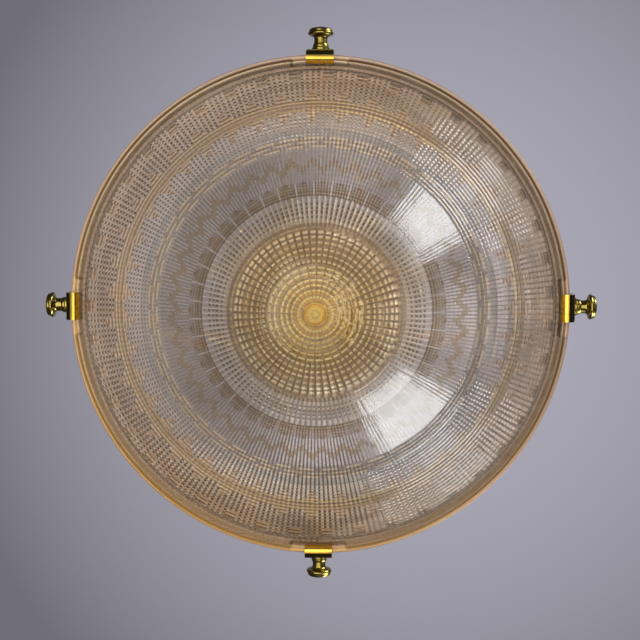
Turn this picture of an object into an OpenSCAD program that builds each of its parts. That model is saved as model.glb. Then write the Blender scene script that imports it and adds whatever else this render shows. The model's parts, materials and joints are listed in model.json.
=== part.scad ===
// Pendant light: a pressed-glass bowl held at its rim by four brass clips, on swan-neck arms that
// spread from a turned hub. The hub hangs from a hang-straight knuckle below a ceiling rose.
// The origin is the middle of the ceiling face, +Z is up, and sizes are in millimetres.
// Everything that repeats round the bowl is numbered from +X, anticlockwise seen from above.

/* [Glass bowl] */
// Diameter over the rim
bowl_d = 349; // [320:1:390]
// Height from the lowest point to the top of the rim
bowl_depth = 98; // [88:1:112]
// Wall of the glass
glass_t = 5; // [4:0.5:6.5]
// Radius that softens both edges of the rim
rim_round = 1.2; // [0.8:0.1:1.8]
// Width of the moulded bead under the rim
bead_w = 7; // [5:0.5:9]
// How far the bead stands below the glass
bead_h = 1; // [0.6:0.1:1.4]
// Length of the flat seat left in the bead at each clip
seat_w = 41; // [28:1:50]
// Radius of the round button at the lowest point
button_r = 7; // [5:0.5:10]
// How far the button stands below the glass
button_h = 1; // [0.5:0.1:1.5]

/* [Rim clips] */
// Width of the brass strip of a clip
clip_w = 19; // [16:0.5:22]
// Thickness of the strip
clip_t = 2; // [1.5:0.1:2.5]
// Width of the hook across its bend, outside
hook_w = 9.6; // [8:0.1:10.4]
// Gap between the edge of the glass and the clip
edge_gap = 0.5; // [0.3:0.1:1]
// Thickness of the felt pad under the glass
pad_t = 0.8; // [0.5:0.1:1.2]
// Width of the felt pad, across the hook's end
pad_w = 2.4; // [2.2:0.1:3]
// Height of a stud's axis over the top of the rim
stud_rise = 13; // [12:0.5:16]
// Thickness of the square lock plate
plate_t = 2.4; // [1.8:0.1:3]

/* [Thumb nuts] */
// Diameter of the mushroom head
head_d = 18; // [15:0.5:20]
// Length of a whole thumb nut
nut_len = 16.6; // [15:0.2:20]
// Diameter of the nut's neck
neck_d = 9.3; // [8.6:0.1:10.5]
// Diameter of the nut's foot, against the lock plate
foot_d = 12.4; // [11:0.2:14]
// Diameter of the threaded stud
stud_d = 6; // [5:0.1:6.4]
// Length of stud that stands out of the lock plate
stud_out = 13; // [11:0.2:13.2]

/* [Arms] */
// Diameter of an arm
arm_d = 8; // [6.5:0.5:9]
// Radius of both bends of an arm, at its middle line
bend_r = 50; // [35:1:60]
// Slope of an arm between its bends
arm_slope = 35; // [28:1:42]
// Drop from the hub's sockets to the studs
arm_drop = 50; // [42:1:58]
// Straight length of arm between the hub and its first bend
arm_straight = 14; // [9:1:20]
// Diameter of the shoulder that a clip rests against
shoulder_d = 12; // [10:0.5:14]
// Length of the shoulder
shoulder_l = 6; // [4:0.5:9]
// Diameter of the ferrule where an arm enters the hub
ferrule_d = 13; // [11:0.5:15]
// Length of the ferrule
ferrule_l = 5; // [3:0.5:7]

/* [Stem and hub] */
// Diameter of the stem and of the ceiling tube
stem_d = 13; // [12:0.5:15]
// Wall of both tubes
stem_wall = 1.6; // [1.2:0.1:2.4]
// Length of the stem
stem_len = 90; // [60:5:240]
// Widest diameter of the hub
hub_d = 46; // [42:1:54]
// Height of the hub
hub_h = 40; // [38:1:50]
// Depth of the arm sockets and of the stem socket
socket_l = 11; // [9:0.5:12]
// Diameter of the centre tube below the hub
centre_d = 10; // [9:0.5:11]

/* [Lamp pan] */
// Diameter of the pan
pan_d = 130; // [124:1:140]
// Height of the pan's side
pan_h = 44; // [42:1:50]
// Sheet that the pan and its lid are spun from
sheet_t = 1.2; // [1:0.1:1.6]
// How far the pan's bottom bellies down
pan_belly = 6; // [3:0.5:9]
// Diameter of the domed nut under the pan
boss_d = 24; // [20:1:30]

/* [Lamps] */
// Diameter of a round lamp
lamp_d = 45; // [40:1:46]
// Length of a lamp's glass beyond its holder
lamp_len = 53; // [50:1:56]
// Wall of a lamp's glass
lamp_wall = 0.8; // [0.6:0.1:1.2]
// Diameter of a lamp's screw cap
cap_d = 14; // [13:0.5:14.5]
// Length of a lamp's screw cap
cap_len = 22; // [18:1:26]
// Outside diameter of a lampholder
holder_d = 26; // [24:0.5:28]
// Length of a lampholder
holder_len = 40; // [38:1:44]
// Height of the lamps' axes over the pan's lower edge
lamp_rise = 18; // [17.5:0.5:22]

/* [Ceiling rose] */
// Diameter of the rose
rose_d = 124; // [112:1:150]
// Height of the rose
rose_h = 40; // [34:1:55]
// Diameter of the collar under the rose
collar_d = 26; // [24:1:32]
// Height of that collar
collar_h = 12; // [10:1:16]
// How far the rose slides down the tube
rose_travel = 30; // [20:1:45]

/* [Ceiling plate] */
// Diameter of the plate
base_d = 96; // [92:1:100]
// Sheet of the plate
base_t = 2; // [1.5:0.1:2.5]
// Distance between the ceiling screws
screw_pitch = 70; // [66:1:74]
// Width of the slots for them
slot_w = 5; // [4:0.2:6]
// Length of a slot, end to end
slot_l = 14; // [10:1:16]

/* [Knuckle] */
// Diameter of the knuckle's caps
knuckle_d = 26; // [25:0.5:30]
// Thickness of those caps
knuckle_t = 5; // [4:0.5:7]
// Radius of the wire hole through ring and caps
wire_r = 4.5; // [3.5:0.1:4.6]
// Diameter of the stub pins
pin_d = 3.5; // [3:0.1:4]

/* [Hidden] */

// Facets of the round pieces
$fn = 96;

// Clearance of a piece that is screwed or pushed into another and stays there
fit = 0.05;
// Clearance of a turning pin or stud in its hole
run = 0.05;
// Clearance of a piece that slides along another
glide = 0.2;
// Clearance between curved faces that only rest on each other
rest = 0.25;

// Colours of the pieces
BRASS = [0.72, 0.54, 0.20];
DARK_BRASS = [0.50, 0.38, 0.14];
STEEL = [0.62, 0.63, 0.65];
CERAMIC = [0.93, 0.92, 0.88];
FELT = [0.20, 0.22, 0.17];
GLASS = [0.80, 0.78, 0.76, 0.45];
LAMP_GLASS = [0.93, 0.93, 0.90, 0.35];

stem_r = stem_d / 2;
bore_r = stem_r - stem_wall;
centre_r = centre_d / 2;
bowl_r = bowl_d / 2;
pan_r = pan_d / 2;
rose_r = rose_d / 2;

// Levels, from the ceiling down
base_dish = 8;
fork_boss_h = 8;
rose_spare = 4;
fork_top = -(rose_h + collar_h + rose_travel + rose_spare);
tube_end = fork_top - fork_boss_h;

// From the pivot to either cap: clears a prong at the greatest swing, up to the next half millimetre
swing = 15;
prong_w = 8;
cap_gap = ceil(2 * (prong_w / 2 + knuckle_d / 2 * sin(swing) + 2.5) / cos(swing)) / 2;

pivot_z = tube_end - knuckle_t - cap_gap;
stem_top = pivot_z - cap_gap - knuckle_t;
stem_end = stem_top - stem_len;
hub_top = stem_end + socket_l;
hub_end = hub_top - hub_h;
arm_level = hub_top - hub_h * 0.55;
stud_level = arm_level - arm_drop;
rim_z = stud_level - stud_rise;
pole_z = rim_z - bowl_depth;
pan_top = hub_end - sheet_t;
pan_edge = pan_top - pan_h;
lamp_level = pan_edge + lamp_rise;

// Places along an arm, from the axis outwards
hub_r = hub_d / 2;
clip_in = bowl_r + edge_gap;
clip_out = clip_in + clip_t;
plate_out = clip_out + plate_t;
shoulder_in = clip_in - shoulder_l;

// The bowl's underside is one smooth S-curve, flat at the pole and at the rim
bowl_power = 1.07;
bowl_rise = bowl_depth - glass_t;
function bowl_h(r) = bowl_rise * (1 - cos(180 * pow(r / bowl_r, bowl_power))) / 2;
function bowl_turn(r) = bowl_rise / bowl_r * PI / 2 * bowl_power * pow(r / bowl_r, bowl_power - 1)
    * sin(180 * pow(r / bowl_r, bowl_power));
function button_drop(r) = r < button_r ? button_h * sqrt(1 - pow(r / button_r, 2)) : 0;
function inner_point(r) =
    let (m = bowl_turn(r), k = glass_t / sqrt(1 + m * m)) [r - m * k, bowl_h(r) + k];

function arc(c, r, a0, a1, n) =
    [for (i = [0:n]) c + r * [cos(a0 + (a1 - a0) * i / n), sin(a0 + (a1 - a0) * i / n)]];

// Copies a piece made on +X to one of the four clips, or to one of the four lamps between them
module at_clip(i) {
    rotate([0, 0, 90 * (i - 1)]) children();
}

module at_lamp(i) {
    rotate([0, 0, 90 * (i - 1) + 45]) children();
}

// A turned piece on the X axis: its outline is drawn as [distance along X, radius]
module turned_x(outline) {
    rotate([0, 90, 0]) rotate_extrude() polygon([for (p = outline) [p[1], p[0]]]);
}

module rod_x(r, x0, x1) {
    translate([x0, 0, 0]) rotate([0, 90, 0]) cylinder(r = r, h = x1 - x0);
}

module tube_z(r_out, r_in, z0, z1) {
    translate([0, 0, z0]) difference() {
        cylinder(r = r_out, h = z1 - z0);
        translate([0, 0, -1]) cylinder(r = r_in, h = z1 - z0 + 2);
    }
}

// Ceiling plate

base_flange_r = 24;
base_floor_r = 20;
nut_across = 20;
nut_h = 4;
earth_at = 34;
earth_r = 2;

module slot(x) {
    for (s = [-1, 1])
        translate([x + s * (slot_l - slot_w) / 2, 0, -base_t - 1]) cylinder(d = slot_w, h = base_t + 2);
    translate([x - (slot_l - slot_w) / 2, -slot_w / 2, -base_t - 1])
        cube([slot_l - slot_w, slot_w, base_t + 2]);
}

module mounting_plate() {
    color(STEEL) difference() {
        rotate_extrude() polygon([
            [stem_r + glide, -base_dish], [base_floor_r, -base_dish], [base_flange_r, 0],
            [base_d / 2, 0], [base_d / 2, -base_t], [base_flange_r + base_t / 2, -base_t],
            [base_floor_r + base_t / 2, -base_dish - base_t], [stem_r + glide, -base_dish - base_t]]);
        for (s = [-1, 1]) slot(s * screw_pitch / 2);
        translate([0, -earth_at, -base_t - 1]) cylinder(r = earth_r + fit, h = base_t + 2);
        for (s = [-1, 1])
            translate([s * block_screw_x, block_y, -base_t - 1])
                cylinder(r = block_screw_r + fit, h = base_t + 2);
    }
}

module ceiling_tube() {
    color(BRASS) tube_z(stem_r, bore_r, tube_end, -base_dish + nut_h + 2);
}

module tube_nut(z0) {
    translate([0, 0, z0]) difference() {
        cylinder(d = nut_across / cos(30), h = nut_h, $fn = 6);
        translate([0, 0, -1]) cylinder(r = stem_r + fit, h = nut_h + 2);
    }
}

module tube_nuts() {
    color(BRASS) {
        tube_nut(-base_dish);
        tube_nut(-base_dish - base_t - nut_h);
    }
}

// Terminal block: three ways, each with a wire hole and two clamping screws

block_x = 32;
block_w = 14;
block_h = 13;
block_y = 34;
block_screw_r = 1.5;
block_screw_x = 5;
way_pitch = 10;
way_r = 2;
clamp_r = 1.7;
clamp_y = 4;
clamp_len = 4;

module terminal_block() {
    color(CERAMIC) translate([0, block_y, -base_t]) difference() {
        translate([-block_x / 2, -block_w / 2, -block_h]) cube([block_x, block_w, block_h]);
        for (i = [-1:1]) {
            translate([i * way_pitch, block_w, -block_h / 2]) rotate([90, 0, 0])
                cylinder(r = way_r, h = 2 * block_w, $fn = 32);
            for (s = [-1, 1])
                translate([i * way_pitch, s * clamp_y, -block_h - 1])
                    cylinder(r = clamp_r + fit, h = block_h / 2 - way_r + 2, $fn = 32);
        }
        for (s = [-1, 1])
            translate([s * block_screw_x, 0, -block_h - 1])
                cylinder(r = block_screw_r + fit, h = block_h + 2, $fn = 32);
    }
}

// Six clamping screws, and the two longer ones that hold the block to the plate
module terminal_screws() {
    slot_depth = 0.8;
    color(BRASS) translate([0, block_y, -base_t]) {
        for (i = [-1:1], s = [-1, 1])
            translate([i * way_pitch, s * clamp_y, -block_h]) difference() {
                cylinder(r = clamp_r, h = clamp_len, $fn = 32);
                translate([-clamp_r - 1, -0.3, -1]) cube([2 * clamp_r + 2, 0.6, 1 + slot_depth]);
            }
        for (s = [-1, 1])
            translate([s * block_screw_x, 0, -block_h]) {
                cylinder(r = block_screw_r, h = block_h + base_t, $fn = 32);
                translate([0, 0, -1.6]) cylinder(r = block_screw_r * 1.7, h = 1.6, $fn = 32);
            }
    }
}

module earth_screw() {
    head_r = 4;
    head_h = 2.4;
    washer_r = 5.5;
    washer_t = 1;
    color(BRASS) translate([0, -earth_at, 0]) {
        translate([0, 0, -base_t - washer_t]) cylinder(r = earth_r, h = base_t + washer_t);
        translate([0, 0, -base_t - washer_t]) cylinder(r = washer_r, h = washer_t);
        difference() {
            translate([0, 0, -base_t - washer_t - head_h]) cylinder(r = head_r, h = head_h);
            translate([-head_r - 1, -0.5, -base_t - washer_t - head_h - 1])
                cube([2 * head_r + 2, 1, 2]);
        }
    }
}

// Ceiling rose

rose_lip = 4;
rose_step = 4;
rose_neck_r = 17;
rose_bead = 1.4;

// The rose's outline at a wall's depth inside the outer face
function rose_line(inset) = concat(
    [[rose_r - inset, 0], [rose_r - inset, -rose_lip + inset]],
    [for (i = [0:12])
        let (a = 90 * i / 12)
        [rose_neck_r + (rose_r - rose_step - rose_neck_r - inset) * cos(a),
         -rose_lip + inset - (rose_h - rose_lip) * sin(a)]]);

module canopy() {
    hole = stem_r + glide + 0.2;
    outer = concat(rose_line(0), [[hole, -rose_h]]);
    inner = concat(rose_line(sheet_t), [[hole, -rose_h + sheet_t]]);
    back = [for (i = [len(inner) - 1:-1:0]) inner[i]];
    color(BRASS) rotate_extrude() polygon(concat(outer, back));
}

module canopy_collar() {
    r = collar_d / 2;
    z1 = -rose_h;
    z0 = z1 - collar_h;
    waist = r - 2;
    color(BRASS) difference() {
        rotate_extrude() polygon(concat(
            [[stem_r + glide, z1], [r - 0.6, z1]],
            arc([r - rose_bead, z1 - rose_bead], rose_bead, 60, -60, 5),
            [[waist, z1 - 2 * rose_bead - 0.6], [waist, z0 + 2 * rose_bead + 0.6]],
            arc([r - rose_bead, z0 + rose_bead], rose_bead, 60, -60, 5),
            [[stem_r + 1.5, z0], [stem_r + glide, z0]]));
        translate([0, 0, z1 - collar_h / 2]) rod_x(collar_screw_r + fit, stem_r - 1, r + 1);
    }
}

collar_screw_r = 1.5;

// The collar's thumb screw bears on the tube
module collar_screw() {
    head_r = 3.6;
    x0 = collar_d / 2 - 1.6;
    color(BRASS) translate([0, 0, -rose_h - collar_h / 2]) turned_x([
        [stem_r + fit, 0], [stem_r + fit, collar_screw_r], [x0, collar_screw_r], [x0, 2.3],
        [x0 + 2, 2.3], [x0 + 2.4, head_r - 0.4], [x0 + 2.8, head_r], [x0 + 6, head_r],
        [x0 + 6.6, head_r - 0.6], [x0 + 6.6, 0]]);
}

// Hang-straight knuckle: two forks and a gimbal ring, hollow for the wires

prong_t = 3;
ring_h = 9;
ring_r = knuckle_d / 2 - prong_t - 1.5;
prong_in = ring_r + 1.1;

// A fork that opens downwards from the pivot's cap, with its prongs on the X axis
module fork() {
    boss_r = stem_r + 2.6;
    difference() {
        union() {
            translate([0, 0, cap_gap]) rotate_extrude() polygon([
                [wire_r, 0], [knuckle_d / 2 - 1, 0], [knuckle_d / 2, 1], [knuckle_d / 2, knuckle_t - 1],
                [knuckle_d / 2 - 1, knuckle_t], [boss_r + 1, knuckle_t], [boss_r, knuckle_t + 1],
                [boss_r, knuckle_t + fork_boss_h - 1], [boss_r - 1, knuckle_t + fork_boss_h],
                [stem_r + fit, knuckle_t + fork_boss_h], [stem_r + fit, knuckle_t], [wire_r, knuckle_t]]);
            for (s = [0, 180])
                rotate([0, 0, s]) {
                    translate([prong_in, -prong_w / 2, 0]) cube([prong_t, prong_w, cap_gap]);
                    rod_x(prong_w / 2, prong_in, prong_in + prong_t);
                }
        }
        rod_x(pin_d / 2 + run, -knuckle_d, knuckle_d);
    }
}

module upper_fork() {
    color(DARK_BRASS) translate([0, 0, pivot_z]) fork();
}

module lower_fork() {
    color(DARK_BRASS) translate([0, 0, pivot_z]) rotate([180, 0, 90]) fork();
}

module knuckle_ring() {
    color(BRASS) translate([0, 0, pivot_z]) difference() {
        tube_z(ring_r, wire_r + 0.3, -ring_h / 2, ring_h / 2);
        for (s = [0:90:270])
            rotate([0, 0, s]) rod_x(pin_d / 2 + fit, 1, ring_r + 1);
    }
}

module knuckle_pins() {
    x0 = wire_r + 0.6;
    x1 = prong_in + prong_t;
    color(STEEL) translate([0, 0, pivot_z])
        for (s = [0:90:270])
            rotate([0, 0, s]) turned_x([
                [x0, 0], [x0, pin_d / 2], [x1, pin_d / 2], [x1 + 0.5, pin_d / 2 - 0.5], [x1 + 0.5, 0]]);
}

// Stem and hub

module stem() {
    color(BRASS) tube_z(stem_r, bore_r, stem_end, stem_top);
}

hub_neck_r = stem_r + 3.5;
hub_foot_r = hub_r * 0.78;
hub_waist_r = hub_r * 0.6;
hub_band = ferrule_d / 2 + 1.5;

module hub() {
    band_up = arm_level - hub_end + hub_band;
    band_down = arm_level - hub_end - hub_band;
    color(BRASS) translate([0, 0, hub_end]) difference() {
        rotate_extrude() polygon(concat(
            [[bore_r, 0], [hub_foot_r - 0.6, 0], [hub_foot_r, 0.6], [hub_foot_r, 2.4],
             [hub_waist_r, band_down - 1.6], [hub_waist_r + 0.4, band_down - 0.6],
             [hub_r - 1.2, band_down]],
            [[hub_r, band_down + 1.2], [hub_r, band_up - 1.2], [hub_r - 1.2, band_up]],
            arc([hub_r - 2, hub_h - 2], hub_r - 2 - hub_neck_r, 255, 190, 6),
            [[hub_neck_r, hub_h - 1.2], [hub_neck_r - 1, hub_h], [stem_r + fit, hub_h],
             [stem_r + fit, hub_h - socket_l], [bore_r, hub_h - socket_l]]));
        translate([0, 0, -1]) cylinder(r = centre_r + fit, h = 1 + centre_in);
        for (i = [1:4])
            at_clip(i) translate([0, 0, arm_level - hub_end])
                rod_x(arm_d / 2 + fit, hub_r - socket_l, hub_r + 1);
    }
}

// How far the centre tube goes up into the hub
centre_in = 6;

// An arm's run in its own plane: level, down through a bend, level again to the stud
arm_bend_x = hub_r + arm_straight;
arm_run = (arm_drop - 2 * bend_r * (1 - cos(arm_slope))) / sin(arm_slope);
arm_level_x = arm_bend_x + 2 * bend_r * sin(arm_slope) + arm_run * cos(arm_slope);

// A bend of the arm in the XZ plane, from +X towards +Z about the origin, with the straight rod
// that follows it
module bend(rod) {
    rotate([90, 0, 0]) rotate_extrude(angle = arm_slope) translate([bend_r, 0]) circle(d = arm_d);
    rotate([0, -arm_slope, 0]) translate([bend_r, 0, 0]) cylinder(d = arm_d, h = rod);
}

// Both bends are drawn in the frame of the sloping rod between them, so that their ends meet it
module arm(i) {
    color(BRASS) at_clip(i) {
        translate([arm_bend_x, 0, arm_level - bend_r]) rotate([0, arm_slope - 90, 0]) {
            bend(arm_bend_x - (hub_r - socket_l + fit));
            translate([bend_r, 0, -arm_run]) cylinder(d = arm_d, h = arm_run);
            translate([2 * bend_r, 0, -arm_run]) rotate([0, 180, 0]) bend(shoulder_in - arm_level_x + 1);
        }
        translate([0, 0, stud_level]) {
            turned_x([[shoulder_in, 0], [shoulder_in, arm_d / 2 + 0.6],
                      [shoulder_in + 1.4, shoulder_d / 2], [clip_in, shoulder_d / 2], [clip_in, 0]]);
            turned_x([[clip_in, 0], [clip_in, stud_d / 2], [plate_out + stud_out - 0.6, stud_d / 2],
                      [plate_out + stud_out, stud_d / 2 - 0.6], [plate_out + stud_out, 0]]);
        }
    }
}

module arm_collars() {
    r = ferrule_d / 2;
    x0 = hub_r;
    color(DARK_BRASS) for (i = [1:4])
        at_clip(i) translate([0, 0, arm_level]) difference() {
            turned_x([[x0, 0], [x0, r - 0.8], [x0 + 0.8, r], [x0 + ferrule_l * 0.5, r],
                      [x0 + ferrule_l * 0.7, r - 1.4], [x0 + ferrule_l, r - 1.8], [x0 + ferrule_l, 0]]);
            rod_x(arm_d / 2 + fit, x0 - 1, x0 + ferrule_l + 1);
        }
}

// Lamp pan

boss_h = 14;
tube_below = 9;

// The pan's bottom is a shallow belly with a flat round its middle for the nut
function belly_z(r) = pan_edge - pan_belly * sqrt(max(0, 1 - pow(r / pan_r, 2.4)));
belly_flat = boss_d / 2 + 2;

module centre_tube() {
    color(BRASS) tube_z(centre_r, centre_r - 1.4, belly_z(belly_flat) - tube_below, hub_end + centre_in);
}

module pan_lid() {
    lip = 5;
    color(BRASS) rotate_extrude() polygon([
        [centre_r + fit, hub_end], [pan_r + sheet_t, hub_end],
        [pan_r + sheet_t + fit, hub_end - 1], [pan_r + sheet_t + fit, hub_end - lip],
        [pan_r + fit, hub_end - lip], [pan_r + fit, hub_end - sheet_t],
        [centre_r + fit, hub_end - sheet_t]]);
}

module lamp_pan() {
    flat_z = belly_z(belly_flat);
    steps = 10;
    span = pan_r - 1.5 - belly_flat;
    outer = [for (i = [0:steps]) let (r = belly_flat + span * i / steps) [r, belly_z(r)]];
    inner = [for (i = [steps:-1:0])
        let (r = belly_flat + span * i / steps) [r - sheet_t * 0.4, belly_z(r) + sheet_t]];
    color(BRASS) difference() {
        rotate_extrude() polygon(concat(
            [[centre_r + fit, flat_z]], outer,
            [[pan_r, pan_edge + 0.6], [pan_r, pan_top], [pan_r - sheet_t, pan_top],
             [pan_r - sheet_t, pan_edge + 1.2]],
            inner, [[centre_r + fit, flat_z + sheet_t]]));
        for (i = [1:4])
            at_lamp(i) translate([0, 0, lamp_level])
                rod_x(holder_d / 2 + glide, pan_r / 2, pan_r + 1);
    }
}

// The domed nut under the pan, drilled blind for the centre tube
module pan_nut() {
    r = boss_d / 2;
    top = belly_z(belly_flat);
    color(BRASS) translate([0, 0, top]) rotate_extrude() polygon(concat(
        [[centre_r + fit, 0], [r - 0.5, 0], [r, -0.5], [r, -2.6], [r - 1, -3.2], [r - 2, -3.6]],
        [for (i = [0:8]) let (a = 90 * i / 8) [(r - 2.6) * cos(a), -4.2 - (boss_h - 4.2) * sin(a)]],
        [[0, -tube_below - fit], [centre_r + fit, -tube_below - fit]]));
}

// Lampholders: a brass shell through the pan's side, a ceramic core, and two rings that clamp it

ring_t = 4;
ring_wide = 7;
shell_t = 1.6;
shell_end = 2;
core_floor = 6;
holder_out = pan_r + ring_t;
holder_in = holder_out - holder_len;
core_out = holder_out - 2;

module lampholder(i) {
    r = holder_d / 2;
    color(BRASS) at_lamp(i) translate([0, 0, lamp_level]) difference() {
        turned_x([[holder_in, 0], [holder_in, r - 1], [holder_in + 1, r], [holder_out, r], [holder_out, 0]]);
        rod_x(r - shell_t, holder_in + shell_end, holder_out + 1);
        rod_x(3, holder_in - 1, holder_in + shell_end + 1);
    }
}

module holder_cores() {
    x0 = holder_in + shell_end;
    color(CERAMIC) for (i = [1:4])
        at_lamp(i) translate([0, 0, lamp_level]) difference() {
            rod_x(holder_d / 2 - shell_t - fit, x0, core_out);
            rod_x(cap_d / 2 + rest, x0 + core_floor, core_out + 1);
        }
}

module holder_rings() {
    r = holder_d / 2;
    wide = r + ring_wide / 2;
    inner_x = sqrt(pow(pan_r - sheet_t, 2) - pow(wide, 2));
    color(BRASS) for (i = [1:4], x0 = [pan_r, inner_x - ring_t])
        at_lamp(i) translate([0, 0, lamp_level]) difference() {
            turned_x([[x0, 0], [x0, wide], [x0 + ring_t - 1, wide], [x0 + ring_t, wide - 1],
                      [x0 + ring_t, 0]]);
            rod_x(r + fit, x0 - 1, x0 + ring_t + 1);
        }
}

// Round lamps

cap_out = holder_out;
lamp_r = lamp_d / 2;
lamp_neck = cap_d / 2 - 0.6;
lamp_ball_x = cap_out + lamp_len - lamp_r;

// A lamp's outline at a depth inside its outer face: a neck that swells into a ball
function lamp_line(inset) =
    let (r = lamp_r - inset, a0 = 180 - asin((lamp_neck + 2) / r))
    concat([[cap_out, lamp_neck - inset], [cap_out + 3, lamp_neck - inset]],
           [for (i = [0:16])
               let (a = a0 * (1 - i / 16)) [lamp_ball_x + r * cos(a), r * sin(a)]]);

module bulb_glass(i) {
    back = lamp_line(lamp_wall);
    color(LAMP_GLASS) at_lamp(i) translate([0, 0, lamp_level])
        turned_x(concat(lamp_line(0), [for (k = [len(back) - 1:-1:0]) back[k]]));
}

module bulb_cap(i) {
    r = cap_d / 2;
    x0 = cap_out - cap_len;
    color(BRASS) at_lamp(i) translate([0, 0, lamp_level]) turned_x([
        [x0 - 2, 0], [x0 - 2, 3], [x0, 4], [x0 + 2, r - 0.6], [x0 + 3, r], [cap_out, r], [cap_out, 0]]);
}

// Glass bowl, one turned solid with a bead of four arcs between the clip seats

module glass_bowl() {
    steps = 30;
    r1 = bowl_r - rim_round;
    edge = bowl_h(bowl_r);
    start = button_r / 2;
    outer = concat(
        [[0, -button_h], [start, -button_drop(start) + bowl_h(start)], [button_r, bowl_h(button_r)]],
        [for (i = [1:steps]) let (r = button_r + (r1 - button_r) * i / steps) [r, bowl_h(r)]]);
    rim = concat(
        arc([r1, edge + rim_round], rim_round, -60, 0, 3),
        arc([r1, edge + glass_t - rim_round], rim_round, 0, 90, 4));
    inner = [for (i = [steps:-1:1]) let (r = r1 * (i - 0.6) / steps) inner_point(r)];
    seat_half = asin(seat_w / 2 / bowl_r);
    color(GLASS) translate([0, 0, pole_z]) {
        rotate_extrude() polygon(concat(outer, rim, inner, [[0, glass_t]]));
        for (i = [0:3])
            rotate([0, 0, 90 * i + seat_half]) rotate_extrude(angle = 90 - 2 * seat_half)
                polygon(bead_outline());
    }
}

// The bead's section: a low swell under the glass, sunk into it by a little
function bead_outline() =
    let (r1 = bowl_r - rim_round - 0.4, r0 = r1 - bead_w, sunk = 0.8, n = 8)
    concat([for (i = [0:n])
                let (r = r0 + bead_w * i / n) [r, bowl_h(r) - bead_h * sin(180 * i / n)]],
           [[r1, bowl_h(r1) + sunk], [r0, bowl_h(r0) + sunk]]);

// Rim clips

hook_r = hook_w / 2;
hook_x = clip_out - hook_r;
hook_tip = 1;
pad_x = clip_out - hook_w + clip_t / 2;
pad_top = pole_z + bowl_h(min(bowl_r, pad_x - pad_w / 2)) - rest;
hook_end = pad_top - pad_t;
bend_z = hook_end - hook_tip;
clip_half = clip_w / 2;
clip_top = stud_level + clip_half;

// A leg outside the glass, a bend below it, and the hook's end under the clip's seat
module clip(i) {
    color(BRASS) at_clip(i) difference() {
        union() {
            translate([clip_in, -clip_half, bend_z]) cube([clip_t, clip_w, clip_top - bend_z]);
            translate([hook_x, clip_half, bend_z]) rotate([90, 0, 0]) difference() {
                cylinder(r = hook_r, h = clip_w);
                translate([0, 0, -1]) cylinder(r = hook_r - clip_t, h = clip_w + 2);
                translate([-hook_w, 0, -1]) cube([2 * hook_w, hook_w, clip_w + 2]);
            }
            translate([clip_out - hook_w, -clip_half, bend_z]) cube([clip_t, clip_w, hook_tip]);
        }
        translate([0, 0, stud_level]) rod_x(stud_d / 2 + glide, clip_in - 1, clip_out + 1);
    }
}

module clip_pad(i) {
    color(FELT) at_clip(i) translate([pad_x - pad_w / 2, -clip_half + 0.5, hook_end])
        cube([pad_w, clip_w - 1, pad_t]);
}

module lock_plate(i) {
    bevel = 0.5;
    color(BRASS) at_clip(i) translate([0, 0, stud_level]) difference() {
        translate([clip_out, -clip_half, -clip_half]) cube([plate_t, clip_w, clip_w]);
        rod_x(stud_d / 2 + glide, clip_out - 1, plate_out + 1);
        for (a = [0:90:270])
            rotate([a, 0, 0]) translate([plate_out - bevel, -clip_w, clip_half]) rotate([0, 45, 0])
                cube([bevel * 2, 2 * clip_w, bevel * 2]);
    }
}

// Thumb nut: a swelling foot, a waist, and a mushroom head with a soft rim
nut_wall = 2.6;
head_t = 4.6;

module thumb_nut(i) {
    foot = foot_d / 2;
    neck = neck_d / 2;
    head = head_d / 2;
    head_x = nut_len - head_t - 1.2;
    color(BRASS) at_clip(i) translate([plate_out, 0, stud_level]) turned_x(concat(
        [[0, stud_d / 2 + run], [0, foot - 0.6], [0.6, foot], [2, foot], [2.8, foot - 0.6]],
        [for (k = [1:5])
            let (a = 90 * k / 5) [2.8 + 2.6 * sin(a), neck + (foot - 0.6 - neck) * cos(a)]],
        [[nut_len * 0.5, neck]],
        [for (k = [1:5])
            let (a = 90 * k / 5) [nut_len * 0.5 + (head_x - nut_len * 0.5) * sin(a),
                                  neck + (head - 0.8 - neck) * (1 - cos(a))]],
        arc([head_x + 1.4, head - 1.4], 1.4, 135, 30, 4),
        [for (k = [0:5])
            let (a = 90 * k / 5) [nut_len - head_t * 0.45 * (1 - sin(a)), (head - 0.9) * cos(a)]],
        [[nut_len - nut_wall, 0], [nut_len - nut_wall, stud_d / 2 + run]]));
}

mounting_plate();
ceiling_tube();
tube_nuts();
terminal_block();
terminal_screws();
earth_screw();
upper_fork();
canopy();
canopy_collar();
collar_screw();
knuckle_ring();
knuckle_pins();
lower_fork();
stem();
hub();
arm(1);  // arm_1
arm(2);  // arm_2
arm(3);  // arm_3
arm(4);  // arm_4
arm_collars();
centre_tube();
pan_lid();
lamp_pan();
pan_nut();
lampholder(1);  // lampholder_1
lampholder(2);  // lampholder_2
lampholder(3);  // lampholder_3
lampholder(4);  // lampholder_4
holder_cores();
holder_rings();
clip(1);  // clip_1
clip(2);  // clip_2
clip(3);  // clip_3
clip(4);  // clip_4
clip_pad(1);  // clip_pad_1
clip_pad(2);  // clip_pad_2
clip_pad(3);  // clip_pad_3
clip_pad(4);  // clip_pad_4
lock_plate(1);  // lock_plate_1
lock_plate(2);  // lock_plate_2
lock_plate(3);  // lock_plate_3
lock_plate(4);  // lock_plate_4
thumb_nut(1);  // thumb_nut_1
thumb_nut(2);  // thumb_nut_2
thumb_nut(3);  // thumb_nut_3
thumb_nut(4);  // thumb_nut_4
glass_bowl();
bulb_glass(1);  // bulb_glass_1
bulb_glass(2);  // bulb_glass_2
bulb_glass(3);  // bulb_glass_3
bulb_glass(4);  // bulb_glass_4
bulb_cap(1);  // bulb_cap_1
bulb_cap(2);  // bulb_cap_2
bulb_cap(3);  // bulb_cap_3
bulb_cap(4);  // bulb_cap_4
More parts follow.
